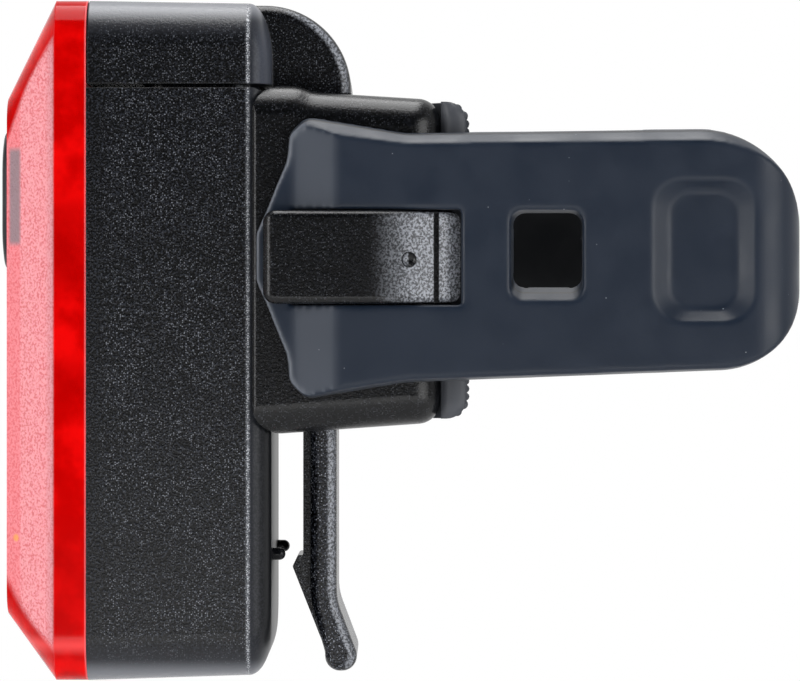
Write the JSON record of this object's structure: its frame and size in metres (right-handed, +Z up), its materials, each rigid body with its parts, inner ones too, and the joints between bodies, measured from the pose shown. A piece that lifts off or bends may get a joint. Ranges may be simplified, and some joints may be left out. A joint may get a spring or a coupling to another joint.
{
  "type": "bicycle rear light with strap bracket",
  "caption": "Battery rear light with a red lens and a belt clip, held in a bracket that a silicone strap closes round a seat post.",
  "frame": {"origin": "on the seat post's axis, level with the middle of the rubber pad", "axes": "+Z up along the seat post, -X the way the lens shines, Y across the light"},
  "size_m": [0.0778, 0.0406, 0.0658],
  "materials": {
    "red_lens": "translucent red moulding, frosted on its sloping sides",
    "black_grained": "fine spark-eroded grain with tiny glints",
    "strap_silicone": "matt blue-grey silicone",
    "pad_rubber": "ribbed dark rubber",
    "key_rubber": "soft black rubber",
    "seal_rubber": "seal rubber",
    "plunger_plastic": "grey moulding",
    "board_green": "green solder mask",
    "switch_black": "black switch body",
    "led_white": "white package with a clear dome",
    "reflector_bright": "vacuum metallised plastic",
    "indicator_amber": "amber indicator",
    "pipe_clear": "clear light pipe",
    "screw_steel": "plated steel",
    "contact_nickel": "nickel plated strip",
    "cell_jacket": "plain printed sleeve with steel ends"
  },
  "bodies": {
    "bracket": {"bracket": "black_grained", "post_pad": "pad_rubber", "strap": "strap_silicone"},
    "light": {"lens": "red_lens", "lens_gasket": "seal_rubber", "housing": "black_grained", "circuit_board": "board_green", "board_screws": "screw_steel", "button_switch": "switch_black", "light_leds": "led_white", "led_reflector": "reflector_bright", "indicator_led": "indicator_amber", "indicator_light_pipe": "pipe_clear", "battery_cell_near": "cell_jacket", "battery_cell_far": "cell_jacket", "battery_contacts": "contact_nickel", "battery_spring": "contact_nickel"},
    "key": {"power_button": "key_rubber", "button_plunger": "plunger_plastic"},
    "cap": {"battery_cap": "black_grained", "cap_gasket": "seal_rubber", "cap_bridge": "contact_nickel", "bridge_screw": "screw_steel"},
    "clip": {"belt_clip": "black_grained"}
  },
  "joints": [
    {"name": "light_release", "type": "slide", "parent": "bracket", "child": "light", "axis": [0, 0, 1], "range_m": [0, 0.057]},
    {"name": "cap_release", "type": "slide", "parent": "light", "child": "cap", "axis": [0, 0, 1], "range_m": [0, 0.057]},
    {"name": "clip_flex", "type": "hinge", "parent": "cap", "child": "clip", "pos_m": [-0.0201, 0, 0.0163], "axis": [0, -1, 0], "range_deg": [0, 3], "stiffness_Nm_per_rad": 6},
    {"name": "button_press", "type": "slide", "parent": "light", "child": "key", "axis": [1, 0, 0], "range_m": [0, 0.0005], "stiffness_N_per_m": 4000}
  ]
}
